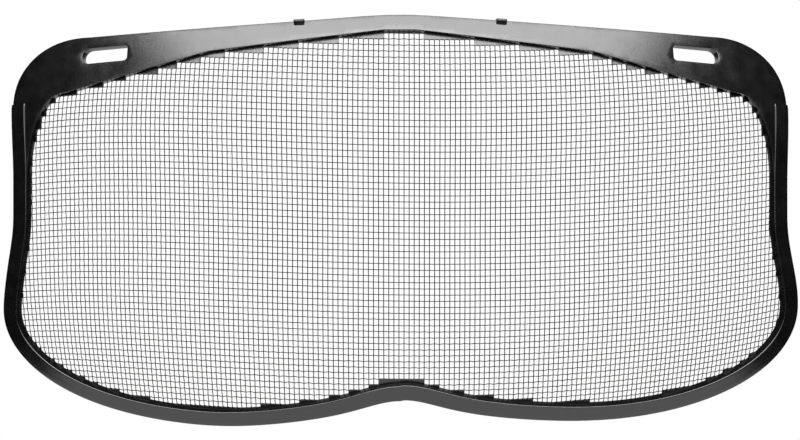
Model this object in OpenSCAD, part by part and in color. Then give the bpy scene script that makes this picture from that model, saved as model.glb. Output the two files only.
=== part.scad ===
// Bowed wire-mesh face shield: a moulded frame around a woven screen.
// Front faces -Y, +Z is up, and the shield is the same left and right of X = 0.
// The origin is the centre of the shield's own box.

/* [Shield] */
// Width of the frame across its widest part, low on the sides
frame_w = 298; // [240:1:360]
// Height of the frame from the crown to the lowest part of the jaw
frame_h = 150; // [124:1:182]
// Radius of the bow, seen from above
bow_r = 320; // [260:1:420]
// Radius at which the upper part leans back
brow_r = 112; // [100:1:180]
// Radius at which the lower part curves back
jaw_r = 112; // [100:1:180]
// Height, above the middle, where the upper curve starts
brow_start = 28; // [10:1:40]
// Height, below the middle, where the lower curve starts
jaw_start = 18; // [5:1:40]

/* [Outline] */
// Half the width of the level stretch in the middle of the crown
crown_flat = 6; // [4:0.5:20]
// Fall of the crown per millimetre towards each shoulder
crown_slope = 0.06; // [0:0.001:0.12]
// Width of the rounded shoulder
shoulder_w = 30; // [18:1:40]
// Height of the rounded shoulder
shoulder_h = 27; // [18:1:34]
// How far each side draws in above the widest part
waist_in = 3.6; // [0:0.1:8]
// Height of the widest part above the lowest part of the jaw
widest_up = 43.5; // [34:0.5:50]
// Height over which a side swells from the waist to the widest part
swell_h = 34; // [20:1:44]
// Distance from the middle to the lowest part of each jaw lobe
lobe_x = 66.5; // [50:0.5:80]
// Height of the chin notch above the lobes
notch_h = 9.4; // [4:0.1:14]

/* [Brow band] */
// Height of the band in the middle
band_mid_h = 5.9; // [4:0.1:10]
// Distance from the middle to the bend in the band's lower edge
band_bend_x = 70; // [50:1:90]
// Height of the band at that bend
band_bend_h = 9.2; // [7:0.1:16]
// Height of the band where it turns down beside the shoulder
band_side_h = 21; // [16:0.5:26]
// Distance from the side of the frame to that turn
band_side_in = 24; // [16:0.5:34]
// Height at which the band's tapering tail ends beside the edge rim
tail_z = 20; // [5:1:26]

/* [Moulding] */
// Distance of the band's front face from the middle of the screen
step_h = 2.4; // [1.6:0.1:4]
// Distance of the moulding's back face from the middle of the screen
back_t = 0.8; // [0.5:0.1:2]
// Width of the edge rim's raised face
rim_w = 6; // [3:0.1:8]
// How far the edge rim stands proud of the band, forwards and sideways
rim_proud = 0.5; // [0.2:0.1:1.5]
// Height at which the edge rim's blunt upper ends stop
rim_top = 43.4; // [30:0.2:50]

/* [Slots] */
// Distance of each slot's centre from the side of the frame
slot_in = 40.5; // [34:0.1:60]
// Depth of each slot's centre below the crown line above it
slot_down = 8.2; // [6:0.1:11]
// Length of each slot
slot_len = 18.5; // [12:0.1:24]
// Width of each slot
slot_h = 6.2; // [4.2:0.1:7.5]
// Corner radius at the inner end of each slot
slot_corner = 1.5; // [0.5:0.1:2]

/* [Catches] */
// Distance of each catch from the middle
catch_x = 36.8; // [20:0.2:60]
// Width of each catch
catch_w = 3.9; // [2:0.1:8]
// How far each catch reaches down the front of the band
catch_drop = 1.4; // [1:0.1:3]
// How far each catch stands above the band's top edge
catch_up = 0.3; // [0.2:0.1:1.5]
// How far each catch stands forward of the band
catch_out = 2; // [1:0.1:5]

/* [Screen] */
// Diameter of every wire
wire_d = 0.32; // [0.2:0.02:0.5]
// Distance between neighbouring upright wires, centre to centre
upright_pitch = 1.82; // [1.2:0.01:3]
// Distance between neighbouring cross wires, centre to centre
cross_pitch = 2.25; // [1.4:0.01:4]
// Clearance between the layer of cross wires and the layer of upright wires
layer_gap = 0.02; // [0.01:0.01:0.1]
// Thickness of the moulded border that closes the outer cells
border_t = 1; // [0.8:0.1:1.6]
// Least width of that border
border_min = 1; // [0.8:0.1:4]
// Length of each wire's end that is held in the moulding
wire_hold = 1; // [0.5:0.1:2]

/* [Hidden] */
UPRIGHT_GROUPS = 10;   // bundles of neighbouring upright wires
CROSS_GROUPS = 6;      // bundles of neighbouring cross wires
$fn = 96;

BLACK = "#1c1c1d";
WIRE = "#2b2b2c";
ARC_STEPS = 12;
JAW_STEPS = 20;
NOTCH_STEPS = 12;
JAW_ROUNDNESS = 2.1;   // exponent of a rounded corner: 2 is an ellipse, more is squarer
SHOULDER_ROUNDNESS = 2.2;
SHEET_SPAN = 80;   // how far a cutting outline runs, front to back
SHELL_ANGLE = 90;  // how much of the bow the moulding is turned through
SURFACE_FN = 240;  // fineness of the large bowed faces

half_w = frame_w / 2;
crown_z = frame_h / 2;
jaw_z = -frame_h / 2;
widest_z = jaw_z + widest_up;
waist_x = half_w - waist_in;
band_x = waist_x - rim_proud;
window_x = waist_x - rim_w;
layer = (wire_d + layer_gap) / 2;

function upright_name(g) = str("upright_wires_", g < 10 ? "0" : "", g);
function cross_name(g) = str("cross_wires_", g < 10 ? "0" : "", g);

// ---- the bowed surface -------------------------------------------------------------

// Set-back of the screen's surface at height z from its straight middle
function setback(z) =
    z > brow_start ? brow_r - sqrt(pow(brow_r, 2) - pow(z - brow_start, 2))
    : z < -jaw_start ? jaw_r - sqrt(pow(jaw_r, 2) - pow(-jaw_start - z, 2))
    : 0;

// Backward lean of the surface at height z, up positive
function lean(z) =
    z > brow_start ? asin((z - brow_start) / brow_r)
    : z < -jaw_start ? -asin((-jaw_start - z) / jaw_r)
    : 0;

// Distance of the surface behind its foremost line, offset by out along its normal
function depth_at(x, z, out = 0) =
    bow_r - sqrt(pow(bow_r - setback(z) + out, 2) - pow(x, 2));

// Height of the point that lies s along the surface from the middle
function height_at(s) =
    s > brow_start ? brow_start + brow_r * sin(degrees_of(s - brow_start, brow_r))
    : s < -jaw_start ? -jaw_start - jaw_r * sin(degrees_of(-jaw_start - s, jaw_r))
    : s;

// Angle in degrees that an arc of that length spans
function degrees_of(length, radius) = length / radius * 180 / PI;

// ---- the outline, as right-hand halves from the middle outwards ---------------------

function crown_at(x) = crown_z - crown_slope * max(0, x - crown_flat);

// Crown, rounded shoulder and straight side down to the middle, with the side at x = side
function crown_half(side) = concat(
    [[0, crown_z], [crown_flat, crown_z]],
    [for (i = [0:ARC_STEPS])
        let (a = 90 * i / ARC_STEPS, x0 = side - shoulder_w, z0 = crown_at(x0))
        [x0 + shoulder_w * pow(sin(a), 2 / SHOULDER_ROUNDNESS),
            z0 - shoulder_h * (1 - pow(cos(a), 2 / SHOULDER_ROUNDNESS))]],
    [[side, 0], [0, 0]]
);

// Side below the shoulder, swelling to the widest part, drawn in by inset
function side_half(inset) =
    [for (i = [0:ARC_STEPS])
        let (t = i / ARC_STEPS)
        [half_w - inset - waist_in * (1 + cos(180 * t)) / 2, widest_z + swell_h * (1 - t)]];

// Rounded jaw corner, from the widest part to the bottom of the lobe
function jaw_half(inset) =
    [for (i = [1:JAW_STEPS])
        let (a = 90 * i / JAW_STEPS, w = half_w - inset - lobe_x, h = widest_up - inset)
        [lobe_x + w * pow(cos(a), 2 / JAW_ROUNDNESS), widest_z - h * pow(sin(a), 2 / JAW_ROUNDNESS)]];

// Chin notch, from the bottom of the lobe to the middle
function notch_half(inset) =
    [for (i = [1:NOTCH_STEPS])
        let (t = pow(1 - i / NOTCH_STEPS, 1.5))
        [lobe_x * t, jaw_z + inset + notch_h * notch_rise(t)]];

// Share of the notch's height at t of the way from the middle to the lobe
function notch_rise(t) = (1 / (1 + pow(3.1 * t, 2)) - 1 / (1 + pow(3.1, 2)) * pow(t, 2))
    * (1 - pow(t, 4));

function lower_half(inset) = concat(side_half(inset), jaw_half(inset), notch_half(inset));

// Lower edge of the brow band, and its turn down beside the shoulder
function brow_edge_half() =
    let (
        turn_x = half_w - band_side_in,
        turn_z = crown_at(turn_x) - band_side_h,
        w = window_x - turn_x,
        h = turn_z - tail_z
    )
    concat(
        [[0, crown_z - band_mid_h], [crown_flat, crown_z - band_mid_h],
            [band_bend_x, crown_at(band_bend_x) - band_bend_h]],
        [for (i = [0:ARC_STEPS])
            let (a = 90 * i / ARC_STEPS)
            [turn_x + w * sin(a), turn_z - h * (1 - cos(a))]]
    );

function window_half() = concat(brow_edge_half(), lower_half(rim_w));

function mirrored(half) =
    concat(half, [for (i = [len(half) - 1:-1:0]) if (half[i].x > 0) [-half[i].x, half[i].y]]);

WINDOW = window_half();
WINDOW_TOP = [for (p = WINDOW) if (p.y >= widest_z) p];
WINDOW_LOW = [for (p = WINDOW) if (p.y <= widest_z) p];

function flipped(points) = [for (p = points) [p.y, p.x]];

// Highest and lowest point of the window at distance x from the middle
function window_top(x) = lookup(x, WINDOW_TOP);
function window_low(x) = lookup(x, WINDOW_LOW);

// Distance of the window's side, and of the chin notch's, at height z
WINDOW_JAW = [for (p = WINDOW_LOW) if (p.x >= lobe_x) p];
WINDOW_NOTCH = [for (p = WINDOW_LOW) if (p.x <= lobe_x) p];
function window_side(z) =
    z >= widest_z ? lookup(z, flipped(WINDOW_TOP)) : lookup(z, flipped(WINDOW_JAW));
function window_notch(z) =
    z >= WINDOW[len(WINDOW) - 1].y ? 0 : lookup(z, flipped(WINDOW_NOTCH));

// The frame's depth runs from the screen's foremost wires to its rearmost edge
box_depth = max([for (p = lower_half(0)) depth_at(p.x, p.y, -back_t)]);
axis_y = bow_r - box_depth / 2;

// ---- building blocks ---------------------------------------------------------------

// Everything inside the surface that lies out in front of the screen's surface
module bulge(out) {
    translate([bow_r - brow_r, brow_start])
        intersection() {
            circle(r = brow_r + out);
            square(brow_r + out);
        }
    translate([bow_r - brow_r, -jaw_start])
        square([brow_r + out, brow_start + jaw_start]);
    translate([bow_r - jaw_r, -jaw_start])
        intersection() {
            circle(r = jaw_r + out);
            translate([0, -jaw_r - out])
                square(jaw_r + out);
        }
}

// Curved sheet between two offsets from the screen's surface
module sheet(front, back) {
    $fn = SURFACE_FN;
    translate([0, axis_y, 0])
        rotate_extrude(angle = SHELL_ANGLE, start = -90 - SHELL_ANGLE / 2)
            difference() {
                bulge(front);
                bulge(-back);
            }
}

// Extrudes an outline, drawn in x and height, from front to back
module through() {
    translate([0, SHEET_SPAN / 2, 0])
        rotate([90, 0, 0])
            linear_extrude(height = SHEET_SPAN)
                children();
}

// Moves its children to a point on the surface: +X outwards from the face, +Y sideways
module on_surface(x, z) {
    turn = asin(x / (bow_r - setback(z)));
    translate([0, axis_y, 0])
        rotate([0, 0, -90 + turn])
            translate([bow_r - setback(z), 0, z])
                rotate([0, -lean(z), 0])
                    children();
}

module slot_outline() {
    straight = slot_len - slot_h / 2;
    translate([slot_len / 2 - slot_h / 2, 0])
        circle(d = slot_h);
    translate([-slot_len / 2 + slot_corner, -slot_h / 2])
        square([straight - slot_corner, slot_h]);
    translate([-slot_len / 2, -slot_h / 2 + slot_corner])
        square([straight, slot_h - 2 * slot_corner]);
    for (side = [-1, 1])
        translate([-slot_len / 2 + slot_corner, side * (slot_h / 2 - slot_corner)])
            circle(r = slot_corner);
}

// Right-hand slot's cutter, square to the band and level with the crown's slope
module slot_cutter() {
    x = half_w - slot_in;
    cut = 2 * (step_h + back_t);
    on_surface(x, crown_at(x) - slot_down)
        rotate([90, 0, 90])
            rotate([0, 0, -atan(crown_slope)])
                translate([0, 0, -cut / 2])
                    linear_extrude(height = cut)
                        slot_outline();
}

// ---- moulded pieces ----------------------------------------------------------------

module level_strip(low, high) {
    translate([-half_w - 1, low])
        square([2 * half_w + 2, high - low]);
}

module rim_outline(inset) {
    polygon(mirrored(concat([[0, rim_top], [waist_x - inset, rim_top]], lower_half(inset))));
}

// The band above the edge rim's ends, and the tails that taper away inside them
module band_outline() {
    difference() {
        union() {
            intersection() {
                polygon(mirrored(crown_half(band_x)));
                level_strip(rim_top, crown_z);
            }
            intersection() {
                rim_outline(rim_w);
                level_strip(tail_z, rim_top);
            }
        }
        polygon(mirrored(WINDOW));
    }
}

module band_blank() {
    intersection() {
        sheet(step_h, back_t);
        through()
            band_outline();
    }
}

module brow_band() {
    color(BLACK)
        difference() {
            band_blank();
            slot_cutter();
            mirror([1, 0, 0])
                slot_cutter();
        }
}

module edge_rim() {
    color(BLACK)
        intersection() {
            sheet(step_h + rim_proud, back_t);
            through()
                difference() {
                    rim_outline(0);
                    rim_outline(rim_w);
                }
        }
}

// Blocks over the band's top edge, seated on its front face and on the edge itself
module catch_block() {
    top = crown_at(catch_x) + catch_up;
    front = depth_at(catch_x, top, step_h + catch_out) - box_depth / 2;
    seat = depth_at(catch_x, top, -back_t) - box_depth / 2;
    difference() {
        translate([catch_x - catch_w / 2, front, top - catch_up - catch_drop])
            cube([catch_w, seat - front, catch_up + catch_drop]);
        band_blank();
        translate([0, axis_y, jaw_z])
            cylinder(r = bow_r - setback(top) - back_t, h = frame_h, $fn = SURFACE_FN);
    }
}

module catch_right() {
    color(BLACK)
        catch_block();
}

module catch_left() {
    color(BLACK)
        mirror([1, 0, 0])
            catch_block();
}

// ---- screen ------------------------------------------------------------------------

ROW_MAX = floor(frame_h / cross_pitch);
COLUMN_MAX = floor(half_w / upright_pitch) + 4;

function column_x(i) = bow_r * sin(degrees_of(i * upright_pitch, bow_r));
function column_below(x) = floor(asin(x / bow_r) * PI / 180 * bow_r / upright_pitch);
function row_z(j) = height_at(j * cross_pitch);

// Outer and inner ends of the open cells in the row between cross wires j and j + 1
function row_out(j) =
    let (side = min(window_side(row_z(j)), window_side(row_z(j + 1))))
    side <= crown_flat ? 0 : column_x(column_below(side - border_min));
function row_in(j) =
    let (notch = window_notch(row_z(j)))
    notch <= 0 ? 0 : column_x(column_below(notch + border_min) + 1);

WINDOW_HIGH_Z = WINDOW[0].y;
WINDOW_LOW_Z = min([for (p = WINDOW) p.y]);
OPEN_ROWS = [for (j = [-ROW_MAX:ROW_MAX])
    if (row_z(j + 1) < WINDOW_HIGH_Z && row_z(j) > WINDOW_LOW_Z && row_out(j) > row_in(j)) j];
NOTCH_ROWS = [for (j = OPEN_ROWS) if (row_in(j) > 0) j];

function backwards(list) = [for (i = [len(list) - 1:-1:0]) list[i]];

// Right-hand half of the stepped edge that the open cells make
function steps_half() = concat(
    [for (j = backwards(OPEN_ROWS)) for (z = [row_z(j + 1), row_z(j)]) [row_out(j), z]],
    [for (j = NOTCH_ROWS) for (z = [row_z(j), row_z(j + 1)]) [row_in(j), z]]
);

module mesh_border() {
    color(BLACK)
        intersection() {
            sheet(border_t / 2, border_t / 2);
            through()
                difference() {
                    polygon(mirrored(WINDOW));
                    polygon(mirrored(steps_half()));
                }
        }
}

// One upright wire between two heights, in the plane x = 0 of the bow's axis
module upright_wire(low, high) {
    straight_low = max(low, -jaw_start);
    straight_high = min(high, brow_start);
    if (straight_high > straight_low)
        translate([bow_r - layer, 0, straight_low])
            cylinder(d = wire_d, h = straight_high - straight_low);
    if (high > brow_start)
        wire_bend(brow_r - layer, bow_r - brow_r, brow_start,
            lean(max(low, brow_start)), lean(high));
    if (low < -jaw_start)
        wire_bend(jaw_r - layer, bow_r - jaw_r, -jaw_start,
            lean(low), lean(min(high, -jaw_start)));
}

module wire_bend(radius, centre_x, centre_z, from, to) {
    translate([centre_x, 0, centre_z])
        rotate([90, 0, 0])
            rotate_extrude(angle = to - from, start = from)
                translate([radius, 0])
                    circle(d = wire_d);
}

UPRIGHTS = [for (i = [-COLUMN_MAX:COLUMN_MAX])
    let (x = abs(column_x(i)), low = window_low(x), high = window_top(x))
    if (x < half_w - rim_w && high - low > 2 * cross_pitch)
        [i, low - wire_hold, high + wire_hold]];

module upright_wires(group) {
    first = floor(len(UPRIGHTS) * (group - 1) / UPRIGHT_GROUPS);
    last = floor(len(UPRIGHTS) * group / UPRIGHT_GROUPS) - 1;
    color(WIRE)
        for (k = [first:last])
            translate([0, axis_y, 0])
                rotate([0, 0, -90 + degrees_of(UPRIGHTS[k][0] * upright_pitch, bow_r)])
                    upright_wire(UPRIGHTS[k][1], UPRIGHTS[k][2]);
}

// One cross wire at height z, from one distance to the other from the middle
module cross_wire(z, from_x, to_x) {
    radius = bow_r - setback(z);
    from = asin(from_x / radius);
    to = asin(to_x / radius);
    translate([0, axis_y, z + layer * sin(lean(z))])
        rotate_extrude(angle = to - from, start = -90 + from)
            translate([radius + layer * cos(lean(z)), 0])
                circle(d = wire_d);
}

CROSSES = [for (j = [-ROW_MAX:ROW_MAX])
    let (z = row_z(j))
    if (z < WINDOW_HIGH_Z && z > WINDOW_LOW_Z && window_side(z) > window_notch(z) + 2 * upright_pitch)
        [z, window_notch(z), window_side(z) + wire_hold]];

module cross_wires(group) {
    first = floor(len(CROSSES) * (group - 1) / CROSS_GROUPS);
    last = floor(len(CROSSES) * group / CROSS_GROUPS) - 1;
    color(WIRE)
        for (k = [first:last]) {
            z = CROSSES[k][0];
            inner = CROSSES[k][1];
            outer = CROSSES[k][2];
            if (inner > 0) {
                cross_wire(z, inner - wire_hold, outer);
                cross_wire(z, -outer, wire_hold - inner);
            } else {
                cross_wire(z, -outer, outer);
            }
        }
}

brow_band();
edge_rim();
mesh_border();
catch_left();
catch_right();
for (g = [1:UPRIGHT_GROUPS]) upright_wires(g);
for (g = [1:CROSS_GROUPS]) cross_wires(g);
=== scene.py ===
"""Looks of a bowed wire-mesh face shield: a moulded black frame around a woven screen.

Every piece is laid out on the shield's own curved sheet. A place on it is (u, s, h): u runs
around the bow from the middle to the right, s runs up the sheet from the middle, and h stands
out from it towards the front. All lengths are in metres.
"""

import math

import bmesh
import bpy
import numpy as np
from bpy.props import FloatProperty, FloatVectorProperty, IntProperty, PointerProperty
from mathutils import Matrix, Vector
from mathutils.geometry import delaunay_2d_cdt


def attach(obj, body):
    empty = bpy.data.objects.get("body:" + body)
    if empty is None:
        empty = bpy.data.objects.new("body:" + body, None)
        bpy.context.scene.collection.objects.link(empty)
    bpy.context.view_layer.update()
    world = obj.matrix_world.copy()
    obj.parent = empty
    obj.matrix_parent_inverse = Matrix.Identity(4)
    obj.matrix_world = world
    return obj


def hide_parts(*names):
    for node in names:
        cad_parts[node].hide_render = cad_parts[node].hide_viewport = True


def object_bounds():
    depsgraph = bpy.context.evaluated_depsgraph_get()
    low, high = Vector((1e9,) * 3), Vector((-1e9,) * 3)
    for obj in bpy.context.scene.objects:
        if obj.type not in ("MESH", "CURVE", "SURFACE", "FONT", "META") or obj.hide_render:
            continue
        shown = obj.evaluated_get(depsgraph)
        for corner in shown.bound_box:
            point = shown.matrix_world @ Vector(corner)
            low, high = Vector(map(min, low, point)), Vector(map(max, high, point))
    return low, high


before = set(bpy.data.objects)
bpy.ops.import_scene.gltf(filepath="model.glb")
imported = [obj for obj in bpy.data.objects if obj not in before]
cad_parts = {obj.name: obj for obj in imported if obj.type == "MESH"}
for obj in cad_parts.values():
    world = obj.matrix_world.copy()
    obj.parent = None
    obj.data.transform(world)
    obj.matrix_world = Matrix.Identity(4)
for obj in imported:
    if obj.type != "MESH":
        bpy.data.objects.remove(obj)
CAD_BOX = [list(corner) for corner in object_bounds()]
FRONT_Y = -CAD_BOX[1][1]  # the screen's foremost line lies as far forward as the frame's back lies rearward
MM = 0.001
SHOULDER_ROUNDNESS = 2.2  # 2 is an ellipse, and more is squarer
JAW_ROUNDNESS = 2.06
NOTCH_SHARPNESS = 3.1
WEB_TUCK = 2.8 * MM  # how far the web runs on under the frame
CELL_COLUMNS, CELL_ROWS = range(-86, 87), range(-38, 32)  # more than the frame leaves open

bl_info = {
    "name": "Mesh Face Shield",
    "version": (1, 0, 0),
    "blender": (4, 5, 0),
    "location": "3D View > Sidebar > Shield",
    "description": "Builds a bowed wire-mesh face shield with its frame, screen and studio",
    "category": "Add Mesh",
}


# ---- sizes and colours ---------------------------------------------------------------


def length(name, description, default):
    return FloatProperty(name=name, description=description, default=default, unit="LENGTH", precision=5)


def angle(name, description, degrees):
    return FloatProperty(name=name, description=description, default=math.radians(degrees), subtype="ANGLE")


def factor(name, description, default):
    return FloatProperty(name=name, description=description, default=default, subtype="FACTOR", min=0, max=1)


def colour(name, description, default):
    return FloatVectorProperty(
        name=name, description=description, default=default, subtype="COLOR", size=3, min=0, max=1
    )


def number(name, description, default):
    return FloatProperty(name=name, description=description, default=default)


class ShieldForm(bpy.types.PropertyGroup):
    """The curved sheet and the outline of the whole shield"""

    width: length("Width", "Width across the widest part of the frame", CAD_BOX[1][0] - CAD_BOX[0][0])
    height: length("Height", "Height from the crown to the lowest part of the jaw", CAD_BOX[1][2] - CAD_BOX[0][2])
    bow_radius: length("Bow Radius", "Radius of the bow seen from above", 0.320)
    lean_radius: length("Lean Radius", "Radius at which brow and jaw lean back", 0.112)
    brow_start: length("Brow Start", "Height above the middle where the brow starts to lean", 0.028)
    jaw_start: length("Jaw Start", "Distance below the middle where the jaw starts to lean", 0.018)
    crown_flat: length("Crown Flat", "Half the level stretch in the middle of the crown", 0.006)
    crown_slope: number("Crown Slope", "Fall of the crown per unit of length", 0.0665)
    crown_ease: number("Crown Ease", "How much that fall eases off towards the shoulders", 0.06)
    shoulder_width: length("Shoulder Width", "Width of the rounded shoulder", 0.030)
    shoulder_height: length("Shoulder Height", "Height of the rounded shoulder", 0.027)
    waist_in: length("Waist Inset", "How far the sides draw in above the widest part", 0.00445)
    flare: length("Flare", "How far the sides swing out again below the shoulders", 0.0009)
    widest_up: length("Widest Height", "Height of the widest part above the jaw", 0.0425)
    swell: length("Swell", "Height over which a side swells to the widest part", 0.034)
    lobe: length("Lobe Distance", "Distance from the middle to the lowest part of a jaw lobe", 0.0665)
    notch: length("Chin Notch", "Height of the chin notch", 0.0094)
    right_rise: length("Right Lobe Rise", "How far the right lobe lies above its true place", 0.0015)
    left_drop: length("Left Lobe Drop", "How far the left lobe hangs below its true place", 0.0008)
    right_draw: length("Right Side Draw", "How far the right side is drawn in at the shoulder", 0.0008)
    left_draw: length("Left Side Draw", "How far the left side is drawn in above its widest part", 0.0006)
    crown_sink: length("Crown Sink", "How far the left half of the crown lies below its true place", 0.00035)


class MouldingSizes(bpy.types.PropertyGroup):
    """The moulded frame: brow band, edge rim, web and catches"""

    face: length("Face Height", "Distance of the band's face from the middle of the screen", 0.0024)
    back: length("Back Depth", "Distance of the back face from the middle of the screen", 0.0008)
    rounding: length("Edge Rounding", "Radius of the moulding's front edges", 0.00018)
    rim_width: length("Rim Width", "Width of the edge rim's raised face", 0.0061)
    rim_proud: length("Rim Height", "How far the rim stands above the band", 0.0005)
    rim_top: length("Rim Top", "Height at which the rim's blunt ends stop", 0.0434)
    rim_draft: length("Rim Draft", "How far the rim's inner wall leans in towards its foot", 0.0001)
    band_middle: length("Band Middle", "Height of the band in the middle", 0.0058)
    band_bend: length("Band Bend", "Height of the band at the bend", 0.0092)
    band_bend_at: length("Bend Distance", "Distance from the middle to the bend", 0.070)
    band_side: length("Band Side", "Height of the band where it turns down", 0.0206)
    band_side_in: length("Band Turn", "Distance from the shield's side to the turn", 0.024)
    tail_end: length("Tail End", "Height at which the band's tails end", 0.014)
    slot_in: length("Slot Inset", "Distance of a slot's centre from the shield's side", 0.0405)
    slot_down: length("Slot Depth", "Depth of a slot's centre below the crown", 0.0081)
    slot_length: length("Slot Length", "Length of a slot", 0.0185)
    slot_height: length("Slot Height", "Width of a slot", 0.0059)
    slot_corner: length("Slot Corner", "Corner radius at the inner end of a slot", 0.0013)
    web: length("Web Thickness", "Thickness of the web that fills the outer cells", 0.001)
    web_least: length("Web Least Reach", "Least distance of an open cell's middle from the frame", 0.0001)
    web_side: length("Side Web Reach", "The same distance at the shield's sides", -0.0005)
    web_chin: length("Chin Web Reach", "The same distance above the chin notch", 0.0013)
    web_brow: length("Brow Web Reach", "The same distance below the brow band", 0.0011)
    catch_at: length("Catch Distance", "Distance of each catch from the middle", 0.0368)
    catch_width: length("Catch Width", "Width of a catch", 0.0039)
    catch_drop: length("Catch Drop", "How far a catch reaches down the face", 0.0013)
    catch_up: length("Catch Rise", "How far a catch stands above the band", 0.0006)
    catch_out: length("Catch Reach", "How far a catch stands forward of the band's top edge", 0.0012)


class ScreenSizes(bpy.types.PropertyGroup):
    """The woven screen and how it lies in the frame"""

    wire: length("Wire Diameter", "Diameter of a wire with its coat", 0.000335)
    sides: IntProperty(name="Wire Sides", description="Sides of a wire's cross-section", default=6, min=4, max=12)
    column_pitch: length("Column Pitch", "Distance between upright wires", 0.001838)
    row_pitch: length("Row Pitch", "Distance between cross wires", 0.00224)
    upright_crimp: length("Upright Crimp", "How far an upright wire swings out of the middle", 0.00010)
    cross_crimp: length("Cross Crimp", "How far a cross wire swings out of the middle", 0.00018)
    hold: length("Wire Hold", "Length of a wire's end inside the moulding", 0.001)
    rise: length("Row Rise", "Height of the middle row above the middle of the shield", 0.0068)
    tilt: length("Row Tilt", "How far a row falls from the middle to the right side", 0.0026)
    sag: length("Row Sag", "How far a row hangs down in the middle", 0.0114)
    sag_ease: length("Sag Ease", "How much of that sag eases off towards the sides", 0.0055)
    twist: length("Row Twist", "How much further a row climbs to the right than to the left", 0.0069)
    fan: length("Column Fan", "How far the columns spread towards the brow", 0.0025)
    belly: length("Column Belly", "How far the columns spread towards brow and jaw", 0.0032)
    pull: length("Corner Pull", "How far the corners draw the columns in", 0.0060)


class FinishColours(bpy.types.PropertyGroup):
    """Colours and gloss of the plastic, the wire coat and the floor"""

    plastic: colour("Plastic", "Colour of the moulded plastic", (0.0012, 0.0012, 0.00125))
    plastic_roughness: factor("Plastic Roughness", "Roughness of the moulded plastic", 0.23)
    coat: colour("Wire Coat", "Colour of the coat on the wires", (0.0022, 0.0022, 0.0023))
    coat_specular: factor("Coat Shine", "Strength of the reflections on the wires' coat", 0.15)
    coat_roughness: factor("Coat Roughness", "Roughness of the coat on the wires", 0.48)
    floor: colour("Floor", "Colour of the floor", (0.74, 0.74, 0.74))


class StageSettings(bpy.types.PropertyGroup):
    """Camera, lamps and floor"""

    camera_distance: length("Camera Distance", "Distance of the camera from the front of the screen", 0.850)
    lens: number("Lens", "Focal length in millimetres", 106.25)
    lamp_distance: length("Lamp Distance", "Distance of the soft box", 1.5)
    lamp_height: angle("Lamp Height", "Angle of the soft box above the horizon", 50)
    lamp_turn: angle("Lamp Turn", "Angle of the soft box to the right of the middle", 1.5)
    lamp_width: length("Lamp Width", "Width of the soft box", 2.12)
    lamp_depth: length("Lamp Depth", "Depth of the soft box", 1.0)
    lamp_brightness: number("Lamp Brightness", "Brightness of the soft box's face", 11.8)
    room: number("Room Brightness", "Brightness of the room away from the lamp", 0.02)
    backdrop: number("Backdrop Brightness", "Brightness of the lit backdrop in reflections", 1.4)
    fill: number("Fill Brightness", "Brightness of the pale wall low in front", 9.0)
    floor_drop: length("Floor Drop", "Height of the shield's middle above the floor", 0.25)
    floor_radius: length("Floor Radius", "Radius of the floor", 0.38)


def settings():
    scene = bpy.context.scene
    return scene.shield_form, scene.shield_moulding, scene.shield_screen


# ---- the curved sheet ----------------------------------------------------------------


def lean_at(form, s):
    """Backward lean of the sheet at s, in radians, and the height of that line on the sheet"""
    up, down = max(0.0, s - form.brow_start), max(0.0, -form.jaw_start - s)
    lean = (up - down) / form.lean_radius
    level = min(max(s, -form.jaw_start), form.brow_start)
    return lean, level + form.lean_radius * math.sin(lean)


def on_sheet(form, u, s, h=0.0):
    """Point in space of a place on the sheet"""
    lean, z = lean_at(form, s)
    r = form.bow_radius - form.lean_radius * (1 - math.cos(lean)) + h * math.cos(lean)
    turn = u / form.bow_radius
    return Vector((r * math.sin(turn), FRONT_Y + form.bow_radius - r * math.cos(turn), z + h * math.sin(lean)))


def outward(form, u, s):
    """Direction out of the sheet's face"""
    lean, _ = lean_at(form, s)
    turn = u / form.bow_radius
    return Vector((math.sin(turn) * math.cos(lean), -math.cos(turn) * math.cos(lean), math.sin(lean)))


def to_sheet(form, x, z, h=0.0):
    """Place (u, s) whose point at h lies at width x and height z"""
    radius = form.lean_radius + h
    if z > form.brow_start:
        lean = math.asin((z - form.brow_start) / radius)
        s = form.brow_start + form.lean_radius * lean
    elif z < -form.jaw_start:
        lean = -math.asin((-form.jaw_start - z) / radius)
        s = -form.jaw_start + form.lean_radius * lean
    else:
        lean, s = 0.0, z
    r = form.bow_radius - form.lean_radius * (1 - math.cos(lean)) + h * math.cos(lean)
    return form.bow_radius * math.asin(x / r), s


# ---- outlines ------------------------------------------------------------------------


def eased(value, start, end):
    """0 before the start, 1 past the end and a smooth climb between them"""
    t = min(1.0, max(0.0, (value - start) / (end - start)))
    return t * t * (3 - 2 * t)


def settled(form, u, s):
    """A place on the frame's outline, moved by the little that the moulding is out of true"""
    low, high = eased(-s, 0.015, 0.042), eased(s, 0.020, 0.060)
    crown = eased(s, 0.045, 0.060) * (0.4 + 0.6 * eased(-u, 0.010, 0.040))
    if u > 0:
        ds = form.right_rise * math.sin(math.pi * min(1.0, u / 0.165)) ** 0.4 * low
        du = -form.right_draw * high * eased(u, 0.120, 0.140)
    else:
        ds = -form.left_drop * math.exp(-(((u + 0.062) / 0.028) ** 2)) * low
        du = form.left_draw * math.exp(-(((s + 0.025) / 0.010) ** 2)) * eased(-u, 0.120, 0.140)
    return u + du, s + ds - form.crown_sink * crown


def crown_at(form, x):
    gone = max(0.0, abs(x) - form.crown_flat)
    return form.height / 2 - form.crown_slope * gone + form.crown_ease * gone**2


def side_at(form, z):
    """Distance of the frame's side from the middle, at a height above the widest part"""
    start = -form.height / 2 + form.widest_up + form.swell
    t = min(1.0, max(0.0, (start - z) / form.swell))
    waist = form.waist_in * (1 + math.cos(math.pi * t)) / 2
    return form.width / 2 - waist + form.flare * eased(z, 0.015, 0.045)


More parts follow.
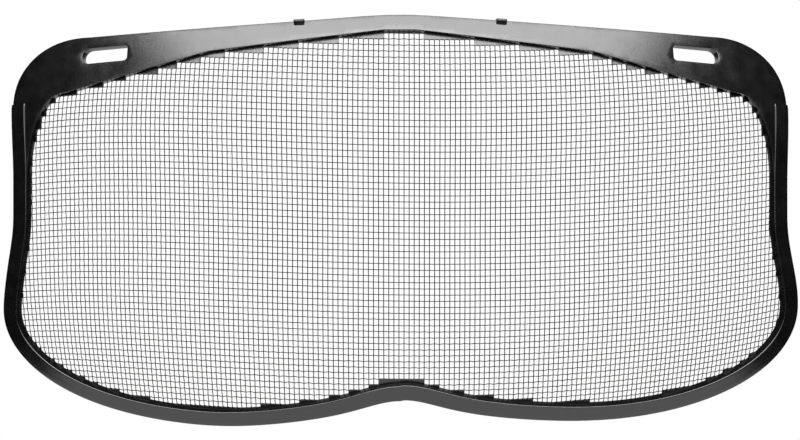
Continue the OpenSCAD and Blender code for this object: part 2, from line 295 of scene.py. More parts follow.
def crown_half(form, side, bottom):
    """Crown, shoulder and straight side from the middle outwards, as widths and heights"""
    points = [(0.0, form.height / 2), (form.crown_flat * 0.7, form.height / 2)]
    start = side - form.shoulder_width
    for x in np.linspace(form.crown_flat, start, 24)[:-1]:
        eased_bend = 0.0001 * math.exp(-(((x - form.crown_flat) / 0.003) ** 2))
        points.append((x, crown_at(form, x) - eased_bend))
    top = crown_at(form, start)
    for i in range(33):
        a = math.pi / 2 * i / 32
        across = math.sin(a) ** (2 / SHOULDER_ROUNDNESS)
        down = max(0.0, math.cos(a)) ** (2 / SHOULDER_ROUNDNESS)
        points.append((start + form.shoulder_width * across, top - form.shoulder_height * (1 - down)))
    points.append((side, bottom))
    return points


def notch_rise(t):
    """Share of the chin notch's height, from 1 in the middle to 0 at the lobe"""
    return (1 / (1 + (NOTCH_SHARPNESS * t) ** 2) - t**2 / (1 + NOTCH_SHARPNESS**2)) * (1 - t**4)


def lower_half(form, top):
    """Side below the shoulder, jaw and chin notch from the outside to the middle"""
    half, low = form.width / 2, -form.height / 2
    widest = low + form.widest_up
    points = [(side_at(form, z), z) for z in np.linspace(top, widest, 45)]
    for i in range(1, 49):
        a = math.pi / 2 * i / 48
        across = max(0.0, math.cos(a)) ** (2 / JAW_ROUNDNESS)
        down = math.sin(a) ** (2 / JAW_ROUNDNESS)
        points.append((form.lobe + (half - form.lobe) * across, widest - form.widest_up * down))
    for i in range(1, 33):
        t = (1 - i / 32) ** 1.4
        points.append((form.lobe * t, low + form.notch * notch_rise(t)))
    return points


def resampled(points, step):
    """The same open line with points about a step apart"""
    line = np.array(points, dtype=float)
    gone = np.concatenate([[0], np.cumsum(np.linalg.norm(np.diff(line, axis=0), axis=1))])
    marks = np.linspace(0, gone[-1], max(2, int(round(gone[-1] / step)) + 1))
    return [(float(np.interp(m, gone, line[:, 0])), float(np.interp(m, gone, line[:, 1]))) for m in marks]


def offset_line(points, distance, closed=False):
    """The line moved to its left by a distance"""
    line = np.array(points, dtype=float)
    if closed:
        before, after = np.roll(line, 1, axis=0), np.roll(line, -1, axis=0)
    else:
        before, after = np.vstack([line[:1], line[:-1]]), np.vstack([line[1:], line[-1:]])
    a, b = line - before, after - line
    la, lb = np.linalg.norm(a, axis=1, keepdims=True), np.linalg.norm(b, axis=1, keepdims=True)
    a = np.divide(a, la, out=np.zeros_like(a), where=la > 1e-9)
    b = np.divide(b, lb, out=np.zeros_like(b), where=lb > 1e-9)
    mean = a + b
    mean /= np.linalg.norm(mean, axis=1, keepdims=True)
    left = np.stack([-mean[:, 1], mean[:, 0]], axis=1)
    cosine = np.sum(mean * np.where(lb > 1e-9, b, a), axis=1, keepdims=True)
    corner = np.maximum(0.6, np.where((la < 1e-9) | (lb < 1e-9), 1.0, cosine))
    return line + left * distance / corner


def mirrored_line(half):
    """A half line that starts in the middle, joined to its mirror image, from left to right"""
    return [(-x, z) for x, z in reversed(half) if x > 1e-9] + list(half)


def rim_line(form, sizes):
    """The rim's outer edge on the sheet, from the right blunt end round the chin to the left one"""
    half = [to_sheet(form, x, z, sizes.face) for x, z in lower_half(form, sizes.rim_top)]
    half = resampled(half, 1.5 * MM)
    return [settled(form, u, s) for u, s in half + [(-u, s) for u, s in reversed(half[:-1])]]


def brow_edge(form, sizes):
    """The band's lower edge on the sheet, from the middle to the end of its tail"""
    turn = form.width / 2 - sizes.band_side_in
    turn_z = crown_at(form, turn) - sizes.band_side
    end = form.width / 2 - form.waist_in - sizes.rim_width * 0.9
    flat, bend, low = form.crown_flat, sizes.band_bend_at, form.height / 2 - sizes.band_middle
    points = [(0.0, low), (flat, low)]
    bend_z = crown_at(form, bend) - sizes.band_bend
    for t in np.linspace(0, 1, 14)[1:]:
        points.append((flat + (bend - flat) * t, low + (bend_z - low) * t))
    for t in np.linspace(0, 1, 14)[1:-1]:
        points.append((bend + (turn - bend) * t, bend_z + (turn_z - bend_z) * t))
    for i in range(25):
        a = math.pi / 2 * i / 24
        drop = (turn_z - sizes.tail_end) * (1 - math.cos(a))
        points.append((turn + (end - turn) * math.sin(a) ** 0.97, turn_z - drop))
    return [to_sheet(form, x, z, sizes.face) for x, z in points]


def window_line(form, sizes):
    """Closed line of the opening in the frame, anticlockwise on the sheet"""
    rim = offset_line(rim_line(form, sizes), -(sizes.rim_width + sizes.rim_draft)).tolist()
    edge = brow_edge(form, sizes)
    right = [p for p in edge if p[1] > sizes.tail_end * 1.2 and p[0] < rim[0][0] + 0.4 * MM]
    low = [p for p in rim if p[1] < right[-1][1] - 0.5 * MM]
    top = mirrored_line(right)
    return list(reversed(top)) + list(reversed(low))


def inside(line, points):
    """Which points lie inside a closed line"""
    line, points = np.asarray(line), np.asarray(points)
    x, y = points[:, 0], points[:, 1]
    hit = np.zeros(len(points), dtype=bool)
    for (x0, y0), (x1, y1) in zip(line, np.roll(line, -1, axis=0)):
        if y0 != y1:
            hit ^= ((y0 > y) != (y1 > y)) & (x < (x1 - x0) * (y - y0) / (y1 - y0) + x0)
    return hit


# ---- the weave -----------------------------------------------------------------------


def weave_place(screen, column, row):
    """Place on the sheet of the crossing of a column and a row, in whole wires from the middle"""
    across, up = column / 80, row / 30
    u = (
        80 * screen.column_pitch * across
        + screen.fan * across * up
        + screen.belly * across * up**2 * (1 - 0.7 * up)
        - screen.pull * across**3 * up * (up + 0.28)
        - 0.0005
    )
    s = (
        screen.rise
        + 30 * screen.row_pitch * up
        + 0.001 * up**2
        + 0.0014 * up**3
        - screen.tilt * across
        + screen.sag * across**2
        + screen.twist * across**3
        - screen.sag_ease * across**4
        + across**2 * up * (0.0030 - 0.0036 * across**2 - 0.0017 * up**2)
        + across * up**2 * (0.0007 - 0.0008 * up)
        - 0.0018 * across**3 * up**2
    )
    return u, s


def weave_places(screen, pairs):
    return np.array([weave_place(screen, c, r) for c, r in pairs])


def runs(flags):
    """First and last index of each unbroken run of true values"""
    found, start = [], None
    for i, flag in enumerate(list(flags) + [False]):
        if flag and start is None:
            start = i
        elif not flag and start is not None:
            found.append((start, i - 1))
            start = None
    return found


# ---- meshes --------------------------------------------------------------------------


def new_piece(name, mesh, material, nodes):
    """Puts a finished mesh in the scene for some of the frame's nodes"""
    piece = bpy.data.objects.new(name, mesh)
    bpy.context.scene.collection.objects.link(piece)
    if material is not None:
        mesh.materials.clear()
        mesh.materials.append(material)
    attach(piece, "root")
    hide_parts(*nodes)
    return piece


def closed_mesh(name, points, faces, smooth=35):
    mesh = bpy.data.meshes.new(name)
    mesh.from_pydata([tuple(p) for p in points], [], faces)
    bm = bmesh.new()
    bm.from_mesh(mesh)
    bmesh.ops.remove_doubles(bm, verts=bm.verts, dist=1e-7)
    bmesh.ops.recalc_face_normals(bm, faces=bm.faces)
    bm.to_mesh(mesh)
    bm.free()
    mesh.shade_smooth()
    mesh.set_sharp_from_angle(angle=math.radians(smooth))
    return mesh


def wall_levels(front, back, front_round, back_round, steps=3):
    """Inset and height of each ring of a plate's wall, from its front face to its back face"""
    rings = []
    for i in range(steps + 1):
        a = math.pi / 2 * i / steps
        rings.append((front_round * (1 - math.sin(a)), front - front_round * (1 - math.cos(a))))
    for i in range(steps + 1):
        a = math.pi / 2 * (1 - i / steps)
        rings.append((back_round * (1 - math.sin(a)), back + back_round * (1 - math.cos(a))))
    return rings


def filling(loops, spacing, margin):
    """Evenly spaced places inside the first loop and outside the others"""
    edge = np.vstack([np.asarray(loop) for loop in loops])
    low, high = edge.min(axis=0), edge.max(axis=0)
    grid = []
    for j, s in enumerate(np.arange(low[1], high[1], spacing * 0.866)):
        shift = spacing / 2 * (j % 2)
        grid += [(u + shift, s) for u in np.arange(low[0], high[0], spacing)]
    grid = np.array(grid)
    keep = inside(loops[0], grid)
    for hole in loops[1:]:
        keep &= ~inside(hole, grid)
    grid = grid[keep]
    far = np.array([np.min(np.sum((edge - g) ** 2, axis=1)) > margin**2 for g in grid], dtype=bool)
    return grid[far]


def triangles(loops, extra):
    """Triangles between the loops, as numbers of the loops' points followed by the extra places"""
    places = np.vstack([np.asarray(loop) for loop in loops] + ([np.asarray(extra)] if len(extra) else []))
    edges, start = [], 0
    for loop in loops:
        n = len(loop)
        edges += [(start + i, start + (i + 1) % n) for i in range(n)]
        start += n
    scale = 1000.0
    verts, _, faces, origins, _, _ = delaunay_2d_cdt([Vector(p * scale) for p in places], edges, [], 0, 1e-6, True)
    if len(verts) != len(places):
        raise RuntimeError("the plate's edges cross or meet")
    number = [o[0] for o in origins]
    faces = [[number[i] for i in face] for face in faces]
    middles = np.array([np.mean(places[face], axis=0) for face in faces])
    keep = inside(loops[0], middles)
    for hole in loops[1:]:
        keep &= ~inside(hole, middles)
    return [face for face, k in zip(faces, keep) if k]


def plate(form, name, loops, levels, spacing, relief=None, extra=None):
    """Plate on the sheet with rounded edges. The first loop runs anticlockwise, holes clockwise."""
    if extra is None:
        extra = filling(loops, spacing, spacing * 0.55)
    rings = []
    for inset, h in levels:
        rings.append(([offset_line(loop, inset, closed=True) for loop in loops], h))
    count = sum(len(loop) for loop in loops)
    points, faces = [], []
    for ring, h in rings:
        points += [on_sheet(form, u, s, h) for loop in ring for u, s in loop]
    for level in range(len(rings) - 1):
        start = 0
        for loop in loops:
            n = len(loop)
            for i in range(n):
                a, b = level * count + start + i, level * count + start + (i + 1) % n
                faces.append((a, b, b + count, a + count))
            start += n
    cap = triangles(rings[0][0], extra)
    base = len(points)
    for u, s in extra:
        points.append(on_sheet(form, u, s, levels[0][1] + (relief(u, s) if relief else 0.0)))
    for u, s in extra:
        points.append(on_sheet(form, u, s, levels[-1][1] - (relief(u, s) if relief else 0.0)))
    last = (len(rings) - 1) * count
    for face in cap:
        faces.append([i if i < count else base + i - count for i in face])
        faces.append([last + i if i < count else base + len(extra) + i - count for i in reversed(face)])
    return closed_mesh(name, points, faces)


def evenly(line, step):
    """A closed line resampled piece by piece, which keeps its corners"""
    line = [tuple(p) for p in line]
    out = []
    for a, b in zip(line, line[1:] + line[:1]):
        n = max(1, int(math.dist(a, b) / step + 0.5))
        out += [(a[0] + (b[0] - a[0]) * i / n, a[1] + (b[1] - a[1]) * i / n) for i in range(n)]
    return out


# ---- materials -----------------------------------------------------------------------


def material_start(name):
    material = bpy.data.materials.new(name)
    material.use_nodes = True
    nodes, links = material.node_tree.nodes, material.node_tree.links
    return material, nodes, links, nodes["Principled BSDF"]


def noise(nodes, links, place, scale, detail=2.0, roughness=0.5, label=""):
    node = nodes.new("ShaderNodeTexNoise")
    node.label = label
    node.inputs["Scale"].default_value = scale
    node.inputs["Detail"].default_value = detail
    node.inputs["Roughness"].default_value = roughness
    links.new(place.outputs["Object"], node.inputs["Vector"])
    return node


def moulded_plastic():
    """Black moulded plastic: a fine grain, soft flow marks and uneven gloss"""
    if "moulded black plastic" in bpy.data.materials:
        return bpy.data.materials["moulded black plastic"]
    finish = bpy.context.scene.shield_finish
    material, nodes, links, shader = material_start("moulded black plastic")
    place = nodes.new("ShaderNodeTexCoord")
    grain = noise(nodes, links, place, 1500.0, 3.0, 0.6, "fine grain")
    flow = noise(nodes, links, place, 70.0, 2.0, 0.5, "flow marks")
    patches = noise(nodes, links, place, 160.0, 4.0, 0.6, "uneven gloss")

    tint = nodes.new("ShaderNodeMapRange")
    tint.inputs["From Min"].default_value = 0.3
    tint.inputs["From Max"].default_value = 0.7
    tint.inputs["To Min"].default_value = 0.8
    tint.inputs["To Max"].default_value = 1.25
    links.new(patches.outputs["Fac"], tint.inputs["Value"])
    base = nodes.new("ShaderNodeMix")
    base.data_type = "RGBA"
    base.blend_type = "MULTIPLY"
    base.inputs["Factor"].default_value = 1.0
    base.inputs["A"].default_value = (*finish.plastic, 1)
    links.new(tint.outputs["Result"], base.inputs["B"])
    links.new(base.outputs["Result"], shader.inputs["Base Color"])

    gloss = nodes.new("ShaderNodeMapRange")
    gloss.inputs["From Min"].default_value = 0.3
    gloss.inputs["From Max"].default_value = 0.7
    gloss.inputs["To Min"].default_value = finish.plastic_roughness - 0.03
    gloss.inputs["To Max"].default_value = finish.plastic_roughness + 0.05
    links.new(patches.outputs["Fac"], gloss.inputs["Value"])
    links.new(gloss.outputs["Result"], shader.inputs["Roughness"])

    soft = nodes.new("ShaderNodeBump")
    soft.inputs["Strength"].default_value = 0.25
    soft.inputs["Distance"].default_value = 0.00006
    links.new(flow.outputs["Fac"], soft.inputs["Height"])
    fine = nodes.new("ShaderNodeBump")
    fine.inputs["Strength"].default_value = 0.55
    fine.inputs["Distance"].default_value = 0.00003
    links.new(grain.outputs["Fac"], fine.inputs["Height"])
    links.new(soft.outputs["Normal"], fine.inputs["Normal"])
    links.new(fine.outputs["Normal"], shader.inputs["Normal"])
    return material


def coated_wire():
    """Steel wire under a black coat: slightly lumpy, with an uneven satin gloss"""
    if "black coated wire" in bpy.data.materials:
        return bpy.data.materials["black coated wire"]
    finish = bpy.context.scene.shield_finish
    material, nodes, links, shader = material_start("black coated wire")
    place = nodes.new("ShaderNodeTexCoord")
    lumps = noise(nodes, links, place, 1800.0, 2.0, 0.5, "lumps in the coat")
    cloud = noise(nodes, links, place, 240.0, 3.0, 0.6, "uneven coat")

    tint = nodes.new("ShaderNodeMapRange")
    tint.inputs["From Min"].default_value = 0.3
    tint.inputs["From Max"].default_value = 0.7
    tint.inputs["To Min"].default_value = 0.7
    tint.inputs["To Max"].default_value = 1.4
    links.new(cloud.outputs["Fac"], tint.inputs["Value"])
    base = nodes.new("ShaderNodeMix")
    base.data_type = "RGBA"
    base.blend_type = "MULTIPLY"
    base.inputs["Factor"].default_value = 1.0
    base.inputs["A"].default_value = (*finish.coat, 1)
    links.new(tint.outputs["Result"], base.inputs["B"])
    links.new(base.outputs["Result"], shader.inputs["Base Color"])

    gloss = nodes.new("ShaderNodeMapRange")
    gloss.inputs["From Min"].default_value = 0.3
    gloss.inputs["From Max"].default_value = 0.7
    gloss.inputs["To Min"].default_value = finish.coat_roughness - 0.06
    gloss.inputs["To Max"].default_value = finish.coat_roughness + 0.1
    links.new(cloud.outputs["Fac"], gloss.inputs["Value"])
    links.new(gloss.outputs["Result"], shader.inputs["Roughness"])
    shader.inputs["Specular IOR Level"].default_value = finish.coat_specular

    bump = nodes.new("ShaderNodeBump")
    bump.inputs["Strength"].default_value = 0.3
    bump.inputs["Distance"].default_value = 0.00002
    links.new(lumps.outputs["Fac"], bump.inputs["Height"])
    links.new(bump.outputs["Normal"], shader.inputs["Normal"])
    return material


def floor_paint():
    """Matt pale floor"""
    finish = bpy.context.scene.shield_finish
    material, nodes, links, shader = material_start("pale floor")
    place = nodes.new("ShaderNodeTexCoord")
    cloud = noise(nodes, links, place, 3.0, 2.0, 0.5, "faint unevenness")
    gloss = nodes.new("ShaderNodeMapRange")
    gloss.inputs["To Min"].default_value = 0.85
    gloss.inputs["To Max"].default_value = 0.95
    links.new(cloud.outputs["Fac"], gloss.inputs["Value"])
    links.new(gloss.outputs["Result"], shader.inputs["Roughness"])
    shader.inputs["Base Color"].default_value = (*finish.floor, 1)
    shader.inputs["Specular IOR Level"].default_value = 0.1
    return material


# ---- moulded pieces ------------------------------------------------------------------


class SHIELD_OT_brow_band(bpy.types.Operator):
    """Make the brow band, with its two slots and its tapering tails"""

    bl_idname = "shield.brow_band"
    bl_label = "Brow Band"

    def slot(self, form, sizes, side):
        """One slot on the sheet, round at its outer end"""
        x = form.width / 2 - sizes.slot_in
        u0, s0 = to_sheet(form, x, crown_at(form, x) - sizes.slot_down)
        half, tall, corner = sizes.slot_length / 2, sizes.slot_height / 2, sizes.slot_corner
        line = []
        for i in range(17):
            a = math.pi / 2 - math.pi * i / 16
            line.append((half - tall + tall * math.cos(a), tall * math.sin(a)))
        for sign, first in ((-1, -90), (1, 180)):
            for i in range(6):
                a = math.radians(first - 90 * i / 5)
                line.append((-half + corner + corner * math.cos(a), sign * (tall - corner) + corner * math.sin(a)))
        tip = -math.atan(form.crown_slope)
        turned = [(u * math.cos(tip) - s * math.sin(tip), u * math.sin(tip) + s * math.cos(tip)) for u, s in line]
        placed = [(u0 + u, s0 + s) for u, s in turned]
        if side < 0:
            placed = [(-u, s) for u, s in reversed(placed)]
        return evenly(placed, 1.2 * MM)

    def execute(self, context):
        form, sizes, _ = settings()
        side = side_at(form, sizes.rim_top) - sizes.rim_proud
        top = [to_sheet(form, x, z, sizes.face) for x, z in crown_half(form, side, sizes.rim_top - 0.001)]
        rim = [p for p in rim_line(form, sizes) if p[0] > 0 and p[1] > sizes.tail_end - 0.002]
        covered = offset_line(rim, -(sizes.rim_width - 2.2 * MM)).tolist()
        tail = [tuple(p) for p in covered if p[1] < sizes.rim_top - 1.4 * MM]
        edge = [p for p in brow_edge(form, sizes) if p[1] > tail[-1][1] + 0.3 * MM]
        top, inner = resampled(top, 2 * MM), tail + list(reversed(resampled(edge, 2 * MM)))
        right = [settled(form, u, s) for u, s in top] + inner
        left = [settled(form, -u, s) for u, s in top] + [(-u, s) for u, s in inner]
        outline = left[:-1] + list(reversed(right))[:-1]
        levels = wall_levels(sizes.face, -sizes.back, sizes.rounding, 0.3 * MM)
        loops = [outline, self.slot(form, sizes, 1), self.slot(form, sizes, -1)]
        mesh = plate(form, "brow_band", loops, levels, 2.2 * MM)
        new_piece("brow_band_moulding", mesh, moulded_plastic(), ["brow_band"])
        return {"FINISHED"}


class SHIELD_OT_edge_rim(bpy.types.Operator):
    """Make the U-shaped edge rim, with its blunt ends and its inner ridge"""

    bl_idname = "shield.edge_rim"
    bl_label = "Edge Rim"

    def profile(self, sizes, shrink):
        """Cross-section as distances in from the outer edge and heights, drawn in by shrink"""
        top, low = sizes.face + sizes.rim_proud - shrink, -sizes.back
        width, inner = sizes.rim_width, sizes.rim_width + sizes.rim_draft
        outer_r, ridge_r = 0.6 * MM, 0.38 * MM
        points = [(shrink + 0.35 * MM, low), (shrink + 0.1 * MM, low + 0.1 * MM), (shrink, low + 0.35 * MM)]
        for i in range(5):
            a = math.pi / 2 * i / 4
            points.append((shrink + outer_r * (1 - math.cos(a)), top - outer_r * (1 - math.sin(a))))
        points += [(width * 0.35, top - 0.05 * MM), (width * 0.65, top - 0.05 * MM)]
        points.append((width - ridge_r * 2.2, top - 0.01 * MM))
        for i in range(7):
            a = math.pi / 2 * i / 6
            points.append((width - ridge_r * (1 - math.sin(a)), top - ridge_r * (1 - math.cos(a))))
        points += [(inner, sizes.web / 2), (inner, low + 0.3 * MM), (inner - 0.3 * MM, low)]
        return points

    def execute(self, context):
        form, sizes, _ = settings()
        line = np.array(rim_line(form, sizes))
        cut = 0.6 * MM
        depths = (0, 0.08 * MM, 0.25 * MM)
        first, last = line[1] - line[0], line[-2] - line[-1]
        starts = [(line[0] + first / np.linalg.norm(first) * e, e) for e in depths]
        others = [(p, cut) for p in line[1:-1]]
        ends = [(line[-1] + last / np.linalg.norm(last) * e, e) for e in reversed(depths)]
        stations = [*starts, *others, *ends]
        path = np.array([p for p, _ in stations])
        points, faces = [], []
        inward = offset_line(path, -1.0) - path
        for (place, gone), across in zip(stations, inward):
            shrink = cut - math.sqrt(max(0.0, cut**2 - (cut - gone) ** 2))
            for w, h in self.profile(sizes, shrink):
                u, s = place + across * w
                points.append(on_sheet(form, u, s, h))
        n = len(self.profile(sizes, 0))
        for k in range(len(stations) - 1):
            for i in range(n):
                a, b = k * n + i, k * n + (i + 1) % n
                faces.append((a, b, b + n, a + n))
        faces.append(list(range(n)))
        faces.append(list(reversed(range(len(points) - n, len(points)))))
        mesh = closed_mesh("edge_rim", points, faces)
        new_piece("edge_rim_moulding", mesh, moulded_plastic(), ["edge_rim"])
        return {"FINISHED"}


def open_cells(form, sizes, screen):
    """The cells that the frame leaves open, as the (column, row) of their lower left corners"""
    window = window_line(form, sizes)
    cells = [(c, r) for r in CELL_ROWS for c in CELL_COLUMNS]
    middles = weave_places(screen, [(c + 0.5, r + 0.5) for c, r in cells])
    out, up = np.abs(middles[:, 0]), middles[:, 1]
    chin = (out < 0.008) & (up < 0)
    brow = (out < 0.100) & (up > 0.02)
    side = (out > 0.118) & (up > -0.050) & (up < 0.028)

    def clear_by(reach):
        return inside(offset_line(window, reach, closed=True), middles)

    flags = clear_by(sizes.web_least)
    flags |= side & clear_by(sizes.web_side)
    flags &= ~chin | clear_by(sizes.web_chin)
    flags &= ~brow | clear_by(sizes.web_brow)
    found = {cell for cell, flag in zip(cells, flags) if flag}

    def beside(c, r):
        return sum(near in found for near in ((c - 1, r), (c + 1, r), (c, r - 1), (c, r + 1)))

    for _ in range(4):  # a cell that hangs on by one side is filled
        found = {(c, r) for c, r in found if beside(c, r) > 1}
    return found


def cell_edges(cells):
    """The longest clockwise loop round the cells, as steps from one crossing to the next"""
    ahead = {}
    for c, r in cells:
        corners = [(c, r + 1), (c + 1, r + 1), (c + 1, r), (c, r)]
        beside = [(c, r + 1), (c + 1, r), (c, r - 1), (c - 1, r)]
        for i, other in enumerate(beside):
            if other not in cells:
                ahead.setdefault(corners[i], []).append(corners[(i + 1) % 4])
    best = []
    while ahead:
        here = next(iter(ahead))
        loop, last = [], None
        while here in ahead:
            ways = ahead[here]
            if last is not None and len(ways) > 1:  # keep to the same cell where two meet at a corner
                ways.sort(key=lambda way: (way[0] - here[0]) * last[1] - (way[1] - here[1]) * last[0])
            goal = ways.pop()
            if not ways:
                del ahead[here]
            loop.append((here, goal))
            last, here = (goal[0] - here[0], goal[1] - here[1]), goal
        if len(loop) > len(best):
            best = loop
    return best


class SHIELD_OT_mesh_border(bpy.types.Operator):
    """Make the thin web that fills the outer cells, one whole cell at a time"""

    bl_idname = "shield.mesh_border"
    bl_label = "Mesh Border"

    def stepped(self, cells):
        """Closed clockwise line round the open cells, cusped at each upright wire and slanted at the sides"""
        dice = np.random.default_rng(7)
        line = []
        for (c, r), (c_next, r_next) in cell_edges(cells):
            if r == r_next:
                step = c_next - c
                dip, flat = -step * (0.10 + 0.06 * dice.random()), 0.17 + 0.06 * dice.random()
                shallow = r + 0.25 * dip
                line += [(c, r + dip), (c + step * flat, shallow), (c + step * (1 - flat), shallow)]
            else:
                slant = 0.04 + 0.08 * dice.random()
                if r_next < r:
                    line += [(c, r - 0.2), (c - 0.04, r - 0.5), (c - slant, r - 0.85)]
                else:
                    line += [(c + slant, r + 0.15), (c + 0.04, r + 0.5), (c, r + 0.8)]
        tidy = []
        for p in line:
            if not tidy or math.dist(tidy[-1], p) > 0.02:
                tidy.append(p)
        return tidy

    def execute(self, context):
        form, sizes, screen = settings()
        outer = offset_line(window_line(form, sizes), -WEB_TUCK, closed=True)
        outer = evenly(outer, 1.5 * MM)
        lattice = self.stepped(open_cells(form, sizes, screen))
        hole = [tuple(p) for p in weave_places(screen, lattice)]
        half = sizes.web / 2
        pairs = [(c / 2, r / 2) for c in range(-174, 175) for r in range(-74, 64)]
        spots = weave_places(screen, pairs)
        pairs = np.array(pairs)
        keep = inside(outer, spots) & ~inside(hole, spots)
        spots, pairs = spots[keep], pairs[keep]
        edge = np.vstack([np.array(outer), np.array(hole)])
        margin = 0.35 * MM
        far = np.array([np.min(np.sum((edge - g) ** 2, axis=1)) > margin**2 for g in spots], dtype=bool)
        spots, pairs = spots[far], pairs[far]

        def lift_at(c, r):
            """Bulge over a crossing of wires, and dip in the middle of a cell"""
            return 0.05 * MM * (math.cos(math.pi * c) ** 2 * 2 - 1 if (c + r) % 1 == 0 else 0.0)

        lift = {tuple(np.round(p, 9)): lift_at(c, r) for p, (c, r) in zip(spots, pairs)}

        def relief(u, s):
            return lift[tuple(np.round((u, s), 9))]

        levels = [(0.0, half), (0.0, -half)]
        mesh = plate(form, "mesh_border", [outer, hole], levels, 1.0, relief=relief, extra=spots)
        new_piece("mesh_border_web", mesh, moulded_plastic(), ["mesh_border"])
        return {"FINISHED"}


class SHIELD_OT_catches(bpy.types.Operator):
    """Make the two small catches over the band's top edge"""

    bl_idname = "shield.catches"
    bl_label = "Catches"

    def execute(self, context):
        form, sizes, _ = settings()
        for name, side in (("catch_right", 1), ("catch_left", -1)):
            x = side * sizes.catch_at
            u0, s0 = settled(form, *to_sheet(form, x, crown_at(form, x), sizes.face))
            turn, tip = u0 / form.bow_radius, -side * math.atan(form.crown_slope)
            seat = on_sheet(form, u0, s0, sizes.face)
            forward = Vector((math.sin(turn), -math.cos(turn), 0))
            level = math.cos(tip)
            across = Vector((math.cos(turn) * level, math.sin(turn) * level, math.sin(tip)))
            upward = forward.cross(across)
            bm = bmesh.new()
            bmesh.ops.create_cube(bm, size=1.0)
            bmesh.ops.bevel(bm, geom=bm.edges, offset=0.12, segments=3, profile=0.5, affect="EDGES")
            deep = (sizes.face + sizes.back) * 0.85
            for v in bm.verts:
                a, b, c = v.co
                up = -sizes.catch_drop + (b + 0.5) * (sizes.catch_up + sizes.catch_drop)
                out = -deep + (c + 0.5) * (deep + sizes.catch_out + 0.00025 * b)
                v.co = seat + across * (a * sizes.catch_width) + upward * up + forward * out
            bmesh.ops.recalc_face_normals(bm, faces=bm.faces)
            mesh = bpy.data.meshes.new(name)
            bm.to_mesh(mesh)
            bm.free()
            mesh.shade_smooth()
            mesh.set_sharp_from_angle(angle=math.radians(40))
            new_piece(name + "_lug", mesh, moulded_plastic(), [name])
        return {"FINISHED"}


# ---- screen --------------------------------------------------------------------------


def woven_wire_tree():
    """Geometry nodes that crimp the centre lines over and under, and give them their thickness"""
    if "Woven Wire" in bpy.data.node_groups:
        return bpy.data.node_groups["Woven Wire"]
    tree = bpy.data.node_groups.new("Woven Wire", "GeometryNodeTree")
    face = tree.interface
    face.new_socket("Centre Lines", in_out="INPUT", socket_type="NodeSocketGeometry")
    face.new_socket("Wire Diameter", in_out="INPUT", socket_type="NodeSocketFloat")
    face.new_socket("Crimp", in_out="INPUT", socket_type="NodeSocketFloat")
    face.new_socket("Sides", in_out="INPUT", socket_type="NodeSocketInt")
    face.new_socket("Material", in_out="INPUT", socket_type="NodeSocketMaterial")
    face.new_socket("Wires", in_out="OUTPUT", socket_type="NodeSocketGeometry")
    nodes, links = tree.nodes, tree.links

    def add(kind, label="", **values):
        node = nodes.new(kind)
        node.label = label
        for key, value in values.items():
            setattr(node, key, value)
        return node

    group_in, group_out = add("NodeGroupInput"), add("NodeGroupOutput")

    crossing = add("GeometryNodeInputNamedAttribute", "column plus row", data_type="FLOAT")
    crossing.inputs["Name"].default_value = "crossing"
    outward_of = add("GeometryNodeInputNamedAttribute", "out of the sheet", data_type="FLOAT_VECTOR")
    outward_of.inputs["Name"].default_value = "outward"
    half_turns = add("ShaderNodeMath", "half a turn for each crossing", operation="MULTIPLY")
    half_turns.inputs[1].default_value = math.pi
    links.new(crossing.outputs["Attribute"], half_turns.inputs[0])
    swing = add("ShaderNodeMath", "over and under", operation="COSINE")
    links.new(half_turns.outputs[0], swing.inputs[0])
    wide = add("ShaderNodeMath", "reach at the quarter points", operation="MULTIPLY")
    wide.inputs[1].default_value = math.sqrt(2)
    links.new(swing.outputs[0], wide.inputs[0])
    reach = add("ShaderNodeMath", "swing by the crimp", operation="MULTIPLY")
    links.new(wide.outputs[0], reach.inputs[0])
    links.new(group_in.outputs["Crimp"], reach.inputs[1])
    shift = add("ShaderNodeVectorMath", "shift", operation="SCALE")
    links.new(outward_of.outputs["Attribute"], shift.inputs[0])
    links.new(reach.outputs[0], shift.inputs["Scale"])
    crimp = add("GeometryNodeSetPosition", "crimp")
    links.new(group_in.outputs["Centre Lines"], crimp.inputs["Geometry"])
    links.new(shift.outputs[0], crimp.inputs["Offset"])

    curve = add("GeometryNodeMeshToCurve")
    links.new(crimp.outputs["Geometry"], curve.inputs["Mesh"])
    half = add("ShaderNodeMath", "radius", operation="DIVIDE")
    half.inputs[1].default_value = 2.0
    links.new(group_in.outputs["Wire Diameter"], half.inputs[0])
    ring = add("GeometryNodeCurvePrimitiveCircle", "section")
    links.new(group_in.outputs["Sides"], ring.inputs["Resolution"])
    links.new(half.outputs[0], ring.inputs["Radius"])
    tube = add("GeometryNodeCurveToMesh", "wires")
    tube.inputs["Fill Caps"].default_value = True
    links.new(curve.outputs["Curve"], tube.inputs["Curve"])
    links.new(ring.outputs["Curve"], tube.inputs["Profile Curve"])
    smooth = add("GeometryNodeSetShadeSmooth")
    links.new(tube.outputs["Mesh"], smooth.inputs["Geometry"])
    real = add("GeometryNodeRealizeInstances")
    links.new(smooth.outputs["Geometry"], real.inputs["Geometry"])
    paint = add("GeometryNodeSetMaterial")
    links.new(real.outputs["Geometry"], paint.inputs["Geometry"])
    links.new(group_in.outputs["Material"], paint.inputs["Material"])
    links.new(paint.outputs["Geometry"], group_out.inputs["Wires"])
    return tree


